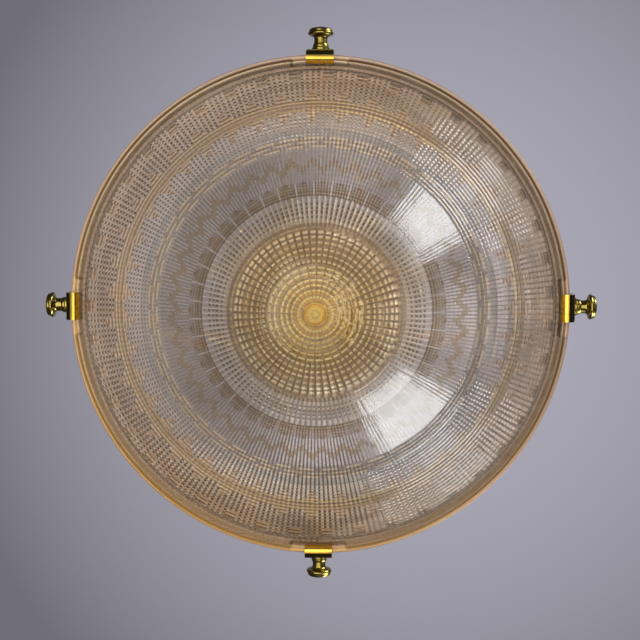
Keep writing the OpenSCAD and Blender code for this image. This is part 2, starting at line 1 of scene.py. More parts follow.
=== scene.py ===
"""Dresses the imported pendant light: prismatic glass, brass, lamps, light, floor and camera."""

import json
import math

import bpy
import numpy as np
from mathutils import Matrix, Quaternion, Vector


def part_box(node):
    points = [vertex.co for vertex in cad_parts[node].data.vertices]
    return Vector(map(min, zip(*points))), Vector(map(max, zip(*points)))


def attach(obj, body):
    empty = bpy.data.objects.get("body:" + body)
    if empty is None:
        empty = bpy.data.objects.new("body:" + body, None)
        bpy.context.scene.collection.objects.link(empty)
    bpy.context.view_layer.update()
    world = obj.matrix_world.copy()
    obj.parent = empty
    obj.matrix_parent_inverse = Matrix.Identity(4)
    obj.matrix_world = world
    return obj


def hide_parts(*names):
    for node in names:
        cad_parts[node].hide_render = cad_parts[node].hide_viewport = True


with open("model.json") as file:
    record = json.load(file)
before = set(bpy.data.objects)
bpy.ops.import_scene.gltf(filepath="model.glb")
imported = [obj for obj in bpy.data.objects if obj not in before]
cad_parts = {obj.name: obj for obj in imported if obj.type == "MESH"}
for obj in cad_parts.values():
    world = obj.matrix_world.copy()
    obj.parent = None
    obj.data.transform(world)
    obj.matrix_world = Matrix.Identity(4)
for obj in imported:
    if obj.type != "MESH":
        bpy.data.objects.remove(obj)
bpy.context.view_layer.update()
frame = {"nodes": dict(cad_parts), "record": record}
scene = bpy.context.scene
TAU = 2 * math.pi

# Camera: below the light and looking up, with the photograph's right as +X and its top as -Y.
# TURN is its tilt away from straight up, as an axis times an angle.
EYE = Vector((0.0220, -0.0441, -1.1407))
TURN = Vector([math.radians(a) for a in (3.592, 1.456, 0.233)])
FOCAL_PX = 1214.2
FRAME_PX = 640
CLIP_NEAR, CLIP_FAR = 0.01, 50


def make_camera():
    data = bpy.data.cameras.new("camera")
    data.sensor_fit = "HORIZONTAL"
    data.angle = 2 * math.atan(FRAME_PX / 2 / FOCAL_PX)
    data.clip_start = CLIP_NEAR
    data.clip_end = CLIP_FAR
    cam = bpy.data.objects.new("camera", data)
    tilt = Quaternion(TURN.normalized(), -TURN.length).to_matrix()
    turn = tilt @ Matrix.Rotation(math.pi, 3, "X")
    cam.matrix_world = Matrix.Translation(EYE) @ turn.to_4x4()
    scene.collection.objects.link(cam)
    scene.camera = cam


make_camera()


# Node helpers

class Graph:
    """A short way to write a node tree."""

    def __init__(self, tree):
        self.tree = tree
        self.tree.nodes.clear()

    def feed(self, socket, value):
        """Links a socket to the one given, or sets its own value."""
        if isinstance(value, bpy.types.NodeSocket):
            self.tree.links.new(value, socket)
        else:
            socket.default_value = value

    def add(self, kind, inputs=(), **props):
        node = self.tree.nodes.new(kind)
        for key, value in props.items():
            setattr(node, key, value)
        for key, value in dict(inputs).items():
            self.feed(node.inputs[key], value)
        return node

    def math(self, op, *values):
        return self.add("ShaderNodeMath", enumerate(values), operation=op).outputs[0]

    def ramp(self, fac, stops):
        node = self.add("ShaderNodeValToRGB", {"Fac": fac})
        ends = node.color_ramp.elements
        while len(ends) < len(stops):
            ends.new(0.5)
        for end, (place, colour) in zip(ends, stops):
            end.position = place
            end.color = (*colour, 1)
        return node.outputs["Color"]

    def mix(self, fac, a, b):
        """Two colours mixed, each a socket or a tuple of red, green and blue."""
        node = self.add("ShaderNodeMix", data_type="RGBA")
        self.feed(node.inputs[0], fac)
        for key, value in ((6, a), (7, b)):
            self.feed(node.inputs[key], (*value, 1) if isinstance(value, tuple) else value)
        return node.outputs[2]

    def blend(self, fac, a, b):
        """Two shaders mixed."""
        return self.add("ShaderNodeMixShader", {0: fac, 1: a, 2: b}).outputs["Shader"]

    def noise(self, where, scale, detail, rough):
        return self.add("ShaderNodeTexNoise", {
            "Vector": where, "Scale": scale, "Detail": detail, "Roughness": rough}).outputs["Fac"]

    def span(self, value, low, high, to_low=0.0, to_high=1.0):
        return self.add("ShaderNodeMapRange", {
            "Value": value, "From Min": low, "From Max": high,
            "To Min": to_low, "To Max": to_high}).outputs["Result"]

    def place(self):
        return self.add("ShaderNodeTexCoord").outputs["Object"]

    def stretched(self, where, scale):
        return self.add("ShaderNodeMapping", {"Vector": where, "Scale": scale}).outputs["Vector"]

    def bump(self, height, strength, distance):
        return self.add("ShaderNodeBump", {
            "Height": height, "Strength": strength, "Distance": distance}).outputs["Normal"]

    def surface(self, colour, rough, **more):
        """A Principled shader. An underscore in the name of a socket stands for a space."""
        inputs = {key.replace("_", " "): value for key, value in more.items()}
        return self.add("ShaderNodeBsdfPrincipled", {
            "Base Color": colour, "Roughness": rough, **inputs}).outputs["BSDF"]


def material(name, build):
    mat = bpy.data.materials.new(name)
    mat.use_nodes = True
    g = Graph(mat.node_tree)
    out = g.add("ShaderNodeOutputMaterial")
    g.tree.links.new(build(g), out.inputs["Surface"])
    return mat


# Grains of the finishes, each the scale, detail and roughness of a noise
CLOUD = (38, 5, 0.6)
CLIP_CLOUD = (60, 5, 0.6)
LATHE = (55, 2, 0.5)
PITS = (420, 2, 0.5)
ROLLED = (60, 3, 0.5)
BLOOM = (90, 4, 0.6)
SPECKS = (700, 2, 0.5)
WAVES = (60, 3, 0.5)
FIBRES = (1500, 4, 0.7)
DRAWN = (900, 2, 0.5)
LAMP_DUST = (240, 4, 0.6)
OUTER_HAZE = (160, 4, 0.6)
SEEDS = (900, 2, 0.5)
INNER_HAZE = (120, 4, 0.6)
FLECKS = (1400, 2, 0.5)
FLOOR_GRAIN = (6, 4, 0.6)

# Brass, as the bright metal and the patina over it, and the noise levels between which it changes
POLISHED = ((0.93, 0.68, 0.21), (0.60, 0.40, 0.10))
SPUN = ((1.00, 0.72, 0.17), (0.72, 0.47, 0.08))
AGED = ((0.46, 0.32, 0.12), (0.20, 0.13, 0.05))
TURNED = ((0.33, 0.26, 0.06), (0.13, 0.10, 0.02))
PATINA_SPAN = (0.42, 0.72)
SHINE_SPAN = (0.3, 0.75)
PIT_SHADE = 0.35
COAT = {"Coat_Weight": 0.25, "Coat_Roughness": 0.12}
LATHE_BUMP = (0.12, 0.00012)


def turning(g, where, lines):
    """Fine lines that the lathe or the polishing wheel left."""
    return g.noise(g.stretched(where, lines), *LATHE)


def brass(colours, rough, lines=(1, 1, 60), patina=0.5):
    """Old lacquer over polished metal, with cloudy patina, fine turning lines and small pits."""
    bright, deep = colours

    def build(g):
        where = g.place()
        cloud = g.noise(where, *CLOUD)
        fine = turning(g, where, lines)
        pits = g.span(g.noise(where, *PITS), 0.64, 0.74, 0, 0.55)
        colour = g.mix(g.span(cloud, *PATINA_SPAN, 0, patina), bright, deep)
        colour = g.mix(pits, colour, tuple(PIT_SHADE * c for c in deep))
        shine = g.math("ADD", g.span(cloud, *SHINE_SPAN, rough * 0.75, rough * 1.6),
                       g.span(fine, 0.35, 0.65, -0.03, 0.05))
        return g.surface(colour, shine, Metallic=1.0, Normal=g.bump(fine, *LATHE_BUMP), **COAT)
    return build


BRASS = material("brass", brass(POLISHED, 0.17))
BRASS_PAN = material("brass_pan", brass(SPUN, 0.30, (1, 1, 14), 0.6))
BRASS_DARK = material("brass_dark", brass(AGED, 0.34, (1, 1, 40), 0.8))
BRASS_KNOB = material("brass_knob", brass(TURNED, 0.23, (1, 1, 1), 0.7))

# The strip of a clip, by distance in metres from the axis of the light: its gold hook with a
# painted highlight, where the painted shade outside the rim begins and ends, and its edge with a
# painted highlight
HOOK_SPAN = (0.1660, 0.1722)
HOOK_GOLD_AND_HIGHLIGHT = ((0, (0.66, 0.36, 0.03)), (0.5, (0.62, 0.35, 0.03)),
             (0.74, (1.0, 0.66, 0.13)), (0.92, (0.55, 0.32, 0.03)))
HOOK_PATINA = (0.50, 0.28, 0.02)
PAINTED_SHADE_SPAN = (0.1717, 0.1727)
PAINTED_SHADE_RAGGED = 0.0004
PAINTED_SHADE_DARK = ((0.16, 0.12, 0.03), (0.07, 0.05, 0.01))
PAINTED_EDGE_AT = 0.1749
PAINTED_EDGE_SPAN = (0.0004, 0.0001)
PAINTED_EDGE_HIGHLIGHT = (0.62, 0.52, 0.30)


def clip_brass(g):
    """Gold with a painted highlight on the hook, painted shade outside the rim, and a painted
    highlight along the edge.
    """
    where = g.place()
    axes = g.add("ShaderNodeSeparateXYZ", {"Vector": where})
    reach = g.math("MAXIMUM", g.math("ABSOLUTE", axes.outputs[0]),
                   g.math("ABSOLUTE", axes.outputs[1]))
    cloud = g.noise(where, *CLIP_CLOUD)
    fine = turning(g, where, (1, 1, 60))
    # Painted shade outside the rim, with a ragged border
    ragged = g.math("ADD", reach, g.span(cloud, 0.3, 0.7, -PAINTED_SHADE_RAGGED, PAINTED_SHADE_RAGGED))
    painted_shade = g.span(ragged, *PAINTED_SHADE_SPAN)
    # Gold of the hook, with a painted highlight band
    strip = g.ramp(g.span(reach, *HOOK_SPAN), HOOK_GOLD_AND_HIGHLIGHT)
    gold = g.mix(g.span(cloud, *PATINA_SPAN, 0, 0.4), strip, HOOK_PATINA)
    # Painted highlight along the edge
    off_edge = g.math("ABSOLUTE", g.math("SUBTRACT", reach, PAINTED_EDGE_AT))
    edge = g.span(off_edge, *PAINTED_EDGE_SPAN, 0, 0.5)
    colour = g.mix(edge, g.mix(painted_shade, gold, g.mix(cloud, *PAINTED_SHADE_DARK)), PAINTED_EDGE_HIGHLIGHT)
    return g.surface(colour, g.span(cloud, *SHINE_SPAN, 0.18, 0.30), Metallic=1.0,
                     Normal=g.bump(fine, *LATHE_BUMP), **COAT)


BRASS_CLIP = material("brass_clip", clip_brass)

# The other finishes, each as the clean surface and its bloom, specks, nap or dust
ZINC = ((0.66, 0.66, 0.64), (0.42, 0.42, 0.40))
GLAZE = ((0.86, 0.83, 0.76), (0.45, 0.38, 0.28))
WOOL = ((0.05, 0.06, 0.04), (0.16, 0.17, 0.11))
DRAWN_WIRE = ((0.20, 0.19, 0.18), (0.42, 0.40, 0.38))
DUSTY_LAMP = ((0.99, 0.99, 0.98), (0.80, 0.78, 0.72))
DUSTY_BOWL = ((0.985, 0.975, 0.96), (0.90, 0.86, 0.82))
DUST = (0.52, 0.45, 0.40)
FLECK = (0.30, 0.22, 0.15)

# Glass: how strongly it bends light, and the tint of the light that it lets through unbent
LAMP_IOR, BOWL_IOR = 1.5, 1.51
LAMP_CLEAR = (0.92, 0.92, 0.92)
OUTER_CLEAR = (0.90, 0.89, 0.87)
INNER_CLEAR = (0.90, 0.88, 0.85)


def steel(g):
    where = g.place()
    grain = g.noise(g.stretched(where, (1, 14, 14)), *ROLLED)
    bloom = g.noise(where, *BLOOM)
    return g.surface(g.mix(g.span(bloom, 0.35, 0.7), *ZINC), g.span(grain, 0.3, 0.7, 0.28, 0.46),
                     Metallic=1.0, Normal=g.bump(grain, 0.15, 0.0001))


def ceramic(g):
    where = g.place()
    speck = g.noise(where, *SPECKS)
    wave = g.noise(where, *WAVES)
    return g.surface(g.mix(g.span(speck, 0.66, 0.74), *GLAZE), g.span(wave, 0.3, 0.7, 0.12, 0.3),
                     Coat_Weight=0.5, Coat_Roughness=0.08, Normal=g.bump(wave, 0.1, 0.0004))


def felt(g):
    fibre = g.noise(g.stretched(g.place(), (1, 1, 3)), *FIBRES)
    return g.surface(g.mix(fibre, *WOOL), 0.95, Sheen_Weight=0.4,
                     Normal=g.bump(fibre, 0.6, 0.0004))


def tungsten(g):
    drawn = g.noise(g.stretched(g.place(), (30, 30, 1)), *DRAWN)
    return g.surface(g.mix(drawn, *DRAWN_WIRE), g.span(drawn, 0.3, 0.7, 0.3, 0.5), Metallic=1.0)


STEEL = material("steel", steel)
TUNGSTEN = material("tungsten", tungsten)
CERAMIC = material("ceramic", ceramic)
FELT = material("felt", felt)


def see_through(g, shader, tint):
    """Lets light reach what is behind glass: only shadow and diffuse rays pass it unbent."""
    rays = g.add("ShaderNodeLightPath")
    free = g.math("MAXIMUM", rays.outputs["Is Shadow Ray"], rays.outputs["Is Diffuse Ray"])
    clear = g.add("ShaderNodeBsdfTransparent", {"Color": (*tint, 1)}).outputs["BSDF"]
    return g.blend(free, shader, clear)


def lamp_glass(g):
    dust = g.noise(g.place(), *LAMP_DUST)
    colour = g.mix(g.span(dust, 0.55, 0.75, 0, 0.3), *DUSTY_LAMP)
    glass = g.surface(colour, g.span(dust, 0.45, 0.75, 0.0, 0.08), IOR=LAMP_IOR,
                      Transmission_Weight=1.0)
    return see_through(g, glass, LAMP_CLEAR)


LAMP_GLASS = material("lamp_glass", lamp_glass)


# Prismatic glass: the inner face carries a tint for each facet, and in its alpha how much of the
# facet shows light scattered by its prism instead of what lies straight behind it

def outer_glass(g):
    where = g.place()
    haze = g.noise(where, *OUTER_HAZE)
    seed = g.noise(where, *SEEDS)
    colour = g.mix(g.span(haze, 0.5, 0.8, 0, 0.3), *DUSTY_BOWL)
    glass = g.surface(colour, g.span(haze, 0.4, 0.8, 0.09, 0.15), IOR=BOWL_IOR,
                      Transmission_Weight=1.0, Normal=g.bump(seed, 0.05, 0.0002))
    return see_through(g, glass, OUTER_CLEAR)


def inner_glass(g):
    where = g.place()
    tint = g.add("ShaderNodeAttribute", attribute_name="tint")
    haze = g.noise(where, *INNER_HAZE)
    fleck = g.noise(where, *FLECKS)
    dusty = g.mix(g.span(haze, 0.35, 0.75, 0, 0.16), tint.outputs["Color"], DUST)
    colour = g.mix(g.span(fleck, 0.35, 0.7, 0, 0.25), dusty, FLECK)
    glass = g.surface(tint.outputs["Color"], g.span(haze, 0.45, 0.8, 0.02, 0.08), IOR=BOWL_IOR,
                      Transmission_Weight=1.0)
    sheen = g.surface(colour, 0.30, Metallic=0.6)
    glow = g.add("ShaderNodeBsdfTranslucent", {"Color": colour}).outputs["BSDF"]
    both = g.blend(tint.outputs["Alpha"], glass, g.blend(0.5, sheen, glow))
    return see_through(g, both, INNER_CLEAR)


OUTER_GLASS = material("outer_glass", outer_glass)
INNER_GLASS = material("inner_glass", inner_glass)


# The glass bowl, in metres, on the same curve as the CAD solid

BOWL_R = 0.1745
GLASS_T = 0.005
RISE = 0.093
POWER = 1.07
EDGE_ROUND = 0.0012
EDGE_R = BOWL_R - EDGE_ROUND
BUTTON_R = 0.007
BUTTON_H = 0.001
BEAD_R = (0.1659, 0.1729)
BEAD_H = 0.001
SEAT_HALF = math.asin(0.0205 / BOWL_R)
POLE_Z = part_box("glass_bowl")[0].z + BUTTON_H

# The pattern repeats 43 times round the bowl, and each such beat has 12 columns of facets
BEATS = 43
BEAT_COLUMNS = 12
COLUMNS = BEATS * BEAT_COLUMNS

# How the radius that a pixel stands for is found: metres per pixel at first, and rounds
FIRST_GUESS = 0.0007
ROUNDS = 30
# Least radius for the slope, because at nought its power has no value
LEAST_R = 1e-6


def bowl_h(r):
    return RISE * (1 - np.cos(np.pi * (r / BOWL_R) ** POWER)) / 2


def bowl_slope(r):
    x = np.maximum(r, LEAST_R) / BOWL_R
    return RISE / BOWL_R * np.pi / 2 * POWER * x ** (POWER - 1) * np.sin(np.pi * x ** POWER)


def radius_at(px):
    """Radius on the outer face that the camera sees px pixels from the middle."""
    r = px * FIRST_GUESS
    for _ in range(ROUNDS):
        r = px * (-EYE.z + POLE_Z + bowl_h(r)) / FOCAL_PX
    return r


def triangle(x):
    """A wave from -1 to 1 with period 1, at its lowest on whole numbers."""
    return 4 * np.abs(x - np.floor(x + 0.5)) - 1


# Tints of the facets, with the share of scattered light
PALE = (0.80, 0.74, 0.69, 0.62)
STONE = (0.55, 0.465, 0.405, 0.66)
SMOKE = (0.46, 0.40, 0.36, 0.62)
SAND = (0.70, 0.54, 0.40, 0.68)
TAN = (0.42, 0.32, 0.23, 0.70)
BROWN = (0.27, 0.185, 0.115, 0.74)
DARK = (0.19, 0.14, 0.10, 0.78)
THREAD = (1.00, 0.80, 0.64, 0.90)
SEAM = (0.47, 0.325, 0.255, 0.78)
BEAD = (1.00, 0.90, 0.88, 0.88)
GAP = (0.27, 0.23, 0.235, 0.86)
BUFF = (0.98, 0.79, 0.56, 0.76)
CREAM = (1.00, 0.80, 0.52, 0.92)
WARM = (0.44, 0.35, 0.27, 0.68)
SLATE = (0.42, 0.355, 0.335, 0.66)
FROST = (0.66, 0.59, 0.57, 0.64)
PEARL = (1.00, 0.86, 0.80, 0.90)
OCHRE = (0.50, 0.34, 0.21, 0.70)
PAINTED_ORANGE_GLOW = (1.00, 0.62, 0.22, 0.66)
GOLD = (1.00, 0.76, 0.06, 0.90)
AMBER = (0.64, 0.42, 0.02, 0.62)
GLINT = (0.92, 0.72, 0.44, 0.74)
UMBER = (0.24, 0.12, 0.01, 0.90)
DEEP = (0.25, 0.135, 0.06, 0.80)
ROSE = (0.90, 0.68, 0.52, 0.56)
INK = (0.10, 0.055, 0.03, 0.94)

# Tints of the middle, in the painted glow of the brass pan behind the glass, by radius in pixels,
# of its ground and of its raised rings
GROUND = ((5, (0.86, 0.48, 0.01, 0.50)), (24, (0.53, 0.28, 0.01, 0.62)),
          (46, (0.37, 0.25, 0.11, 0.80)), (84, (0.36, 0.285, 0.20, 0.78)))
RAISED = ((5, (1.00, 0.80, 0.16, 0.94)), (28, (1.00, 0.79, 0.24, 0.95)),
          (50, (1.00, 0.82, 0.48, 0.95)), (84, (1.00, 0.84, 0.61, 0.84)))

# Where the moulding changes, by radius in pixels
PAN_GLOW_RINGS_END = 50
STEP_END = 92
OUTER_START = 160
BARS_START, BARS_END = 162, 173
GOLD_BARS_START, GOLD_BARS_END = 196, 207

# Where the moulded rings lie, by radius in pixels
BUTTON_RING = (2.4, 4.4)
DASHES = (10.8, 17.8, 24.2, 30.3, 35.4, 42.2, 48.2, 54.4, 60.4, 66.2, 72.3, 78.0, 82.6)
# Painted shadows just outside the raised rings: how far out and half their width, in pixels
SHADOW_OFF, SHADOW_HALF = 2.2, 0.9
RAISED_HALF = 1.1
SPOKES_START = 12
BROWN_SPOKES_START = 34
# Where the painted glints begin, and over how many pixels they grow
GLINTS_START, GLINTS_RAMP = 9, 12
STEP_LINES = (86.0, 89.0, 91.6)
STEP_LINE_HALF = 0.7
DOT_ROWS = (97.3, 101.6, 105.6, 109.7)
DOT_HALF = 1.3
LOW_ARCHES, LOW_ARCH_RISE = 124, 8
SHORT_SPOKES_END = 131
ZIGZAG, ZIGZAG_SWING, ZIGZAG_HALF = 146, 5, 3.4
ARCH_SPRING, ARCH_RISE = 179, 19
WHITE_BEADS_START = 181
RIM_DARK_START = 232
RIM_BEADS_END = 234

# Widths across the columns: a spoke or rib as a share of its pitch, what is on a rib from its
# start to its end and half its height in pixels, and the beads or lines as a share of a beat
SPOKE, RIB_BREAK, DARK_RIB, PALE_RIB, DOT_FROM = 0.16, 0.18, 0.15, 0.22, 0.5
DASH_EDGE = (0.22, 0.92, 1.5)
DASH_TOP = (0.26, 0.90, 0.9)
BARS_SHARE, GOLD_BARS_SHARE = 0.7, 0.8
FAN_START, FAN_GROWTH = 0.45, 0.05
RIM_LINES_SHARE = 0.4

# Where the middle has no spokes, how many painted shadows and painted glints it has, and where the
# painted glints are: their direction as an angle, and how far round they reach as a cosine
SPOKE_COS = 0.6
SHADOW_SHARE = 0.75
GLINT_SHARE = 0.7
GLINT_TURN = 0.2
GLINT_COS = 0.5

# The ground between beads, as shares of the dark and of the light tint
GROUND_DARK, GROUND_LIGHT = 0.4, 0.6

# Bars: radius in pixels, and where in the beat each row is broken
BARS = ((164.0, 0.10), (168.0, 0.55), (171.7, 0.30))
GOLD_BARS = ((198.0, 0.05), (202.0, 0.35), (205.6, 0.65))
BAR_HALF = 0.9
BAR_SHADOW_END = 2.2

# Rows of lines and beads, and finer lines, by their pitch in pixels
ROW_PITCH = 3.2
FINE_PITCH = 2.8

# Lines of the rim: from and to in pixels, tint, and share of painted orange glow at the lower left
RIM_LINES = ((238.8, 241.8, INK, 0.2), (242.6, 243.8, BUFF, 0.9),
             (243.8, 246.4, DEEP, 0.7), (246.4, 260.0, ROSE, 1.0))
PAINTED_ORANGE_TURN = math.radians(120)

# Painted light and shade on the inner bands: its mean, and how far and from which angle it swings
# round the bowl
PAINTED_MIDDLE_LIGHT = (1, -0.12, math.radians(-110))
STEP_LIGHT = (0.87, 0.13, math.radians(20))

# Painted light and shade on the outer bands and how warm they are, by angle in degrees, and the
# tone of the rim
SHADE = ((0, 0.60), (30, 0.57), (90, 0.72), (130, 1.20), (180, 1.20), (240, 1.33), (270, 1.05),
         (300, 1.00), (340, 0.84))
WARMTH = ((0, 0.1), (30, 0.3), (90, 1.0), (120, 0.9), (150, 0.3), (210, 0.1), (240, 0.4),
          (270, 0.9), (300, 0.8), (340, 0.2))
WARM_RAMP = 40
LESS_GREEN, LESS_BLUE = 0.10, 0.33
RIM_TONE_SPAN = (205, 230)
RIM_TONE = np.array((0.19, 0.30, 0.39))

# How uneven the facets are: from one to the next, and in two slow waves of depth, number round
# the bowl and pixels per radian across it
FACET_SPREAD = 0.07
SLOW_WAVES = ((0.05, 3, 30), (0.05, 11, -9))
UNEVEN = np.random.default_rng(43)


def in_band(px, bands):
    """The entry for a radius in pixels, among bands of outer radius and entry."""
    return next(entry for outer, entry in bands if px < outer)


RIB_COUNTS = ((50, 32), (88, 64), (117, 3 * BEATS), (math.inf, 6 * BEATS))


def rib_count(px):
    return in_band(px, RIB_COUNTS)


def near(px, lines, half):
    return min(abs(px - line) for line in lines) < half


def along(px, stops):
    """The tint at a radius, between stops of radius and tint."""
    at = [stop for stop, tint in stops]
    channels = zip(*(tint for stop, tint in stops))
    return tuple(float(np.interp(px, at, channel)) for channel in channels)


def round_the_bowl(turn, stops):
    """A value for each column, between stops of angle and value."""
    return np.interp(turn * 360, *zip(*stops), period=360)


def half_beats():
    """Random numbers from 0 to 1, each the same over half a beat."""
    return np.repeat(UNEVEN.random(2 * BEATS), BEAT_COLUMNS // 2)


class Ring:
    """A ring of facets seen px pixels from the middle, with a tint for each column."""

    def __init__(self, px):
        self.px = px
        self.turn = (np.arange(COLUMNS) + 0.5) / COLUMNS
        self.rib = np.mod(self.turn * rib_count(px), 1)
        self.column = np.arange(COLUMNS) % BEAT_COLUMNS
        self.beat = (self.column + 0.5) / BEAT_COLUMNS
        self.off_middle = np.abs(2 * self.beat - 1)
        self.arch = 1 - self.off_middle
        self.odd = self.column % 2 == 1
        self.low_row = np.mod(px, ROW_PITCH) < ROW_PITCH / 2
        self.fine_line = np.mod(px, FINE_PITCH) < FINE_PITCH / 2
        self.row = np.empty((COLUMNS, 4))

    def fill(self, tint, where=slice(None)):
        self.row[where] = tint

    def lines(self, dark, light, where=slice(None)):
        """Dark and light rows by turns."""
        self.fill(light if self.low_row else dark, where)

    def beads(self, dark, light, where=True):
        """Every second row of dark and light beads by turns, on a ground between the two."""
        ground = tuple(GROUND_DARK * a + GROUND_LIGHT * b for a, b in zip(dark, light))
        self.fill(ground, where & (self.column >= 0))
        if self.low_row:
            self.fill(dark, where & ~self.odd)
            self.fill(light, where & self.odd)

    def dashes(self, start, end, half):
        """Where a dash lies on its rib."""
        return (self.rib > start) & (self.rib < end) & near(self.px, DASHES, half)

    def bars(self, rows, share, tint):
        """Rows of raised bars, each with a painted shadow on the outer side."""
        for line, phase in rows:
            on = np.mod(self.beat + phase, 1) < share
            if abs(self.px - line) < BAR_HALF:
                self.fill(tint, on)
            elif 0 < self.px - line < BAR_SHADOW_END:
                self.fill(TAN, on)


# The bands of the pattern, from the middle to the rim

def button(ring):
    # The button, in the painted glow of the brass pan behind the glass
    ring.fill(AMBER if BUTTON_RING[0] < ring.px < BUTTON_RING[1] else GOLD)


def pan_glow_rings(ring):
    """Raised rings, each with a broken painted shadow, dark spokes and painted glints on the
    right.
    """
    px = ring.px
    # Ground in the painted glow of the brass pan behind the glass
    ring.fill(along(px, GROUND))
    # Painted shadow just outside each raised ring
    if near(px - SHADOW_OFF, DASHES, SHADOW_HALF):
        ring.fill(UMBER, half_beats() < SHADOW_SHARE)
    if near(px, DASHES, RAISED_HALF):
        ring.fill(along(px, RAISED), (ring.rib > RIB_BREAK) | (px < SPOKES_START))
    if px > SPOKES_START:
        spokes = (ring.rib < SPOKE) & (np.cos(ring.turn * TAU) < SPOKE_COS)
        ring.fill(BROWN if px > BROWN_SPOKES_START else UMBER, spokes)
    # Painted glints on the right
    patch = GLINT_SHARE * (np.cos(ring.turn * TAU + GLINT_TURN) - GLINT_COS)
    ring.fill(GLINT, half_beats() < patch * min(1, (px - GLINTS_START) / GLINTS_RAMP))


def pan_glow_dashes(ring):
    """Raised dashes with pale edges, between dark ribs, in the painted glow of the brass pan."""
    ring.fill(along(ring.px, GROUND))
    ring.fill(SAND, ring.dashes(*DASH_EDGE))
    ring.fill(along(ring.px, RAISED), ring.dashes(*DASH_TOP))
    ring.fill(DARK, ring.rib < DARK_RIB)


def step(ring):
    ring.fill(TAN if near(ring.px, STEP_LINES, STEP_LINE_HALF) else WARM)


def dots(ring):
    """Pale ribs, and rows of dark dots between them."""
    ring.fill(STONE)
    ring.fill(PALE, ring.rib < PALE_RIB)
    ring.fill(DARK, (ring.rib > DOT_FROM) & near(ring.px, DOT_ROWS, DOT_HALF))


def dark_line(ring):
    ring.fill(DARK)


def zigzag(ring):
    """Fine lines under low arches, short spokes between these, ribs outside, and a zigzag."""
    px, arch = ring.px, ring.arch
    ring.fill(SLATE)
    ring.fill(FROST, ring.odd & (px > SHORT_SPOKES_END))
    ring.fill(BROWN if ring.fine_line else WARM, px < LOW_ARCHES + LOW_ARCH_RISE * arch)
    ring.fill(FROST, (ring.column == 0) & (px < SHORT_SPOKES_END))
    ring.fill(TAN if ring.fine_line else WARM,
              np.abs(px - ZIGZAG - ZIGZAG_SWING * (1 - 2 * arch)) < ZIGZAG_HALF)


def bars(ring):
    ring.fill(STONE)
    ring.fill(SMOKE, ring.odd)
    ring.bars(BARS, BARS_SHARE, BUFF)


def round_arches(ring):
    """Rows of beads under round arches, with rows of lines between the arches."""
    px = ring.px
    ring.lines(SEAM, THREAD)
    width = math.sqrt(1 - ((px - ARCH_SPRING) / ARCH_RISE) ** 2) if px > ARCH_SPRING else 1
    ring.beads(GAP, BEAD if px > WHITE_BEADS_START else PALE, ring.off_middle < width)


def gold_bars(ring):
    ring.lines(SEAM, THREAD)
    ring.bars(GOLD_BARS, GOLD_BARS_SHARE, CREAM)


def fans(ring):
    """Rows of beads in fans that open outwards, with rows of lines between the fans."""
    ring.beads(DARK, PEARL)
    width = FAN_START + FAN_GROWTH * (ring.px - GOLD_BARS_END)
    ring.lines(SEAM, THREAD, ring.off_middle > width)


def rim_rows(ring):
    """Rows of lines with beads between them, and darker lines at the very rim."""
    at_rim = ring.px >= RIM_DARK_START
    ring.lines(DARK if at_rim else BROWN, OCHRE if at_rim else THREAD)
    if ring.px < RIM_BEADS_END:
        ring.beads(DARK, PEARL, ring.off_middle > RIM_LINES_SHARE)


def rim(ring):
    ring.fill(OCHRE)


# Each band with its outer radius in pixels
BANDS = ((6.4, button), (PAN_GLOW_RINGS_END, pan_glow_rings), (85, pan_glow_dashes), (STEP_END, step),
         (116.6, dots), (118.4, dark_line), (BARS_START, zigzag), (BARS_END, bars),
         (197, round_arches), (GOLD_BARS_END, gold_bars), (227, fans), (238, rim_rows),
         (math.inf, rim))


def vary(ring):
    """Paints light and shade that change round the bowl, makes warmth change round it, and makes
    each facet differ from the next.
    """
    px, row, turn = ring.px, ring.row, ring.turn
    # Painted light and shade on the middle and the step
    if px < STEP_END:
        mean, swing, phase = PAINTED_MIDDLE_LIGHT if px < PAN_GLOW_RINGS_END else STEP_LIGHT
        row[:, :3] *= (mean + swing * np.cos(turn * TAU + phase))[:, None]
    elif px > OUTER_START:
        # Painted light and shade round the outer bands
        share = 1.0 if px < GOLD_BARS_END else 0.5
        row[:, :3] *= (1 + share * (round_the_bowl(turn, SHADE) - 1))[:, None]
        row[:, :3] *= 1 - float(np.interp(px, RIM_TONE_SPAN, (0, 1))) * RIM_TONE
        warm = round_the_bowl(turn, WARMTH) * min(1, (px - OUTER_START) / WARM_RAMP)
        row[:, 1] *= 1 - LESS_GREEN * warm
        row[:, 2] *= 1 - LESS_BLUE * warm
    row[:, :3] *= 1 + FACET_SPREAD * UNEVEN.standard_normal((COLUMNS, 1))
    waves = 1
    for depth, number, pitch in SLOW_WAVES:
        waves = waves + depth * np.sin(number * turn * TAU + px / pitch)
    row[:, :3] *= waves[:, None]
    row[:, :3] /= np.maximum(1, row[:, :3].max(1))[:, None]
    return np.clip(row, 0, 1)


def ring_tints(px):
    """The tints of one ring of facets of the inner face, one for each column."""
    ring = Ring(px)
    in_band(px, BANDS)(ring)
    return vary(ring)


def rim_tint(tint, most):
    """The tint of a line of the rim, with a painted orange glow at its lower left."""
    turn = (np.arange(COLUMNS) + 0.5) / COLUMNS
    share = (most * (0.5 + 0.5 * np.cos(turn * TAU - PAINTED_ORANGE_TURN)) ** 2)[:, None]
    return np.array(tint) * (1 - share) + np.array(PAINTED_ORANGE_GLOW) * share


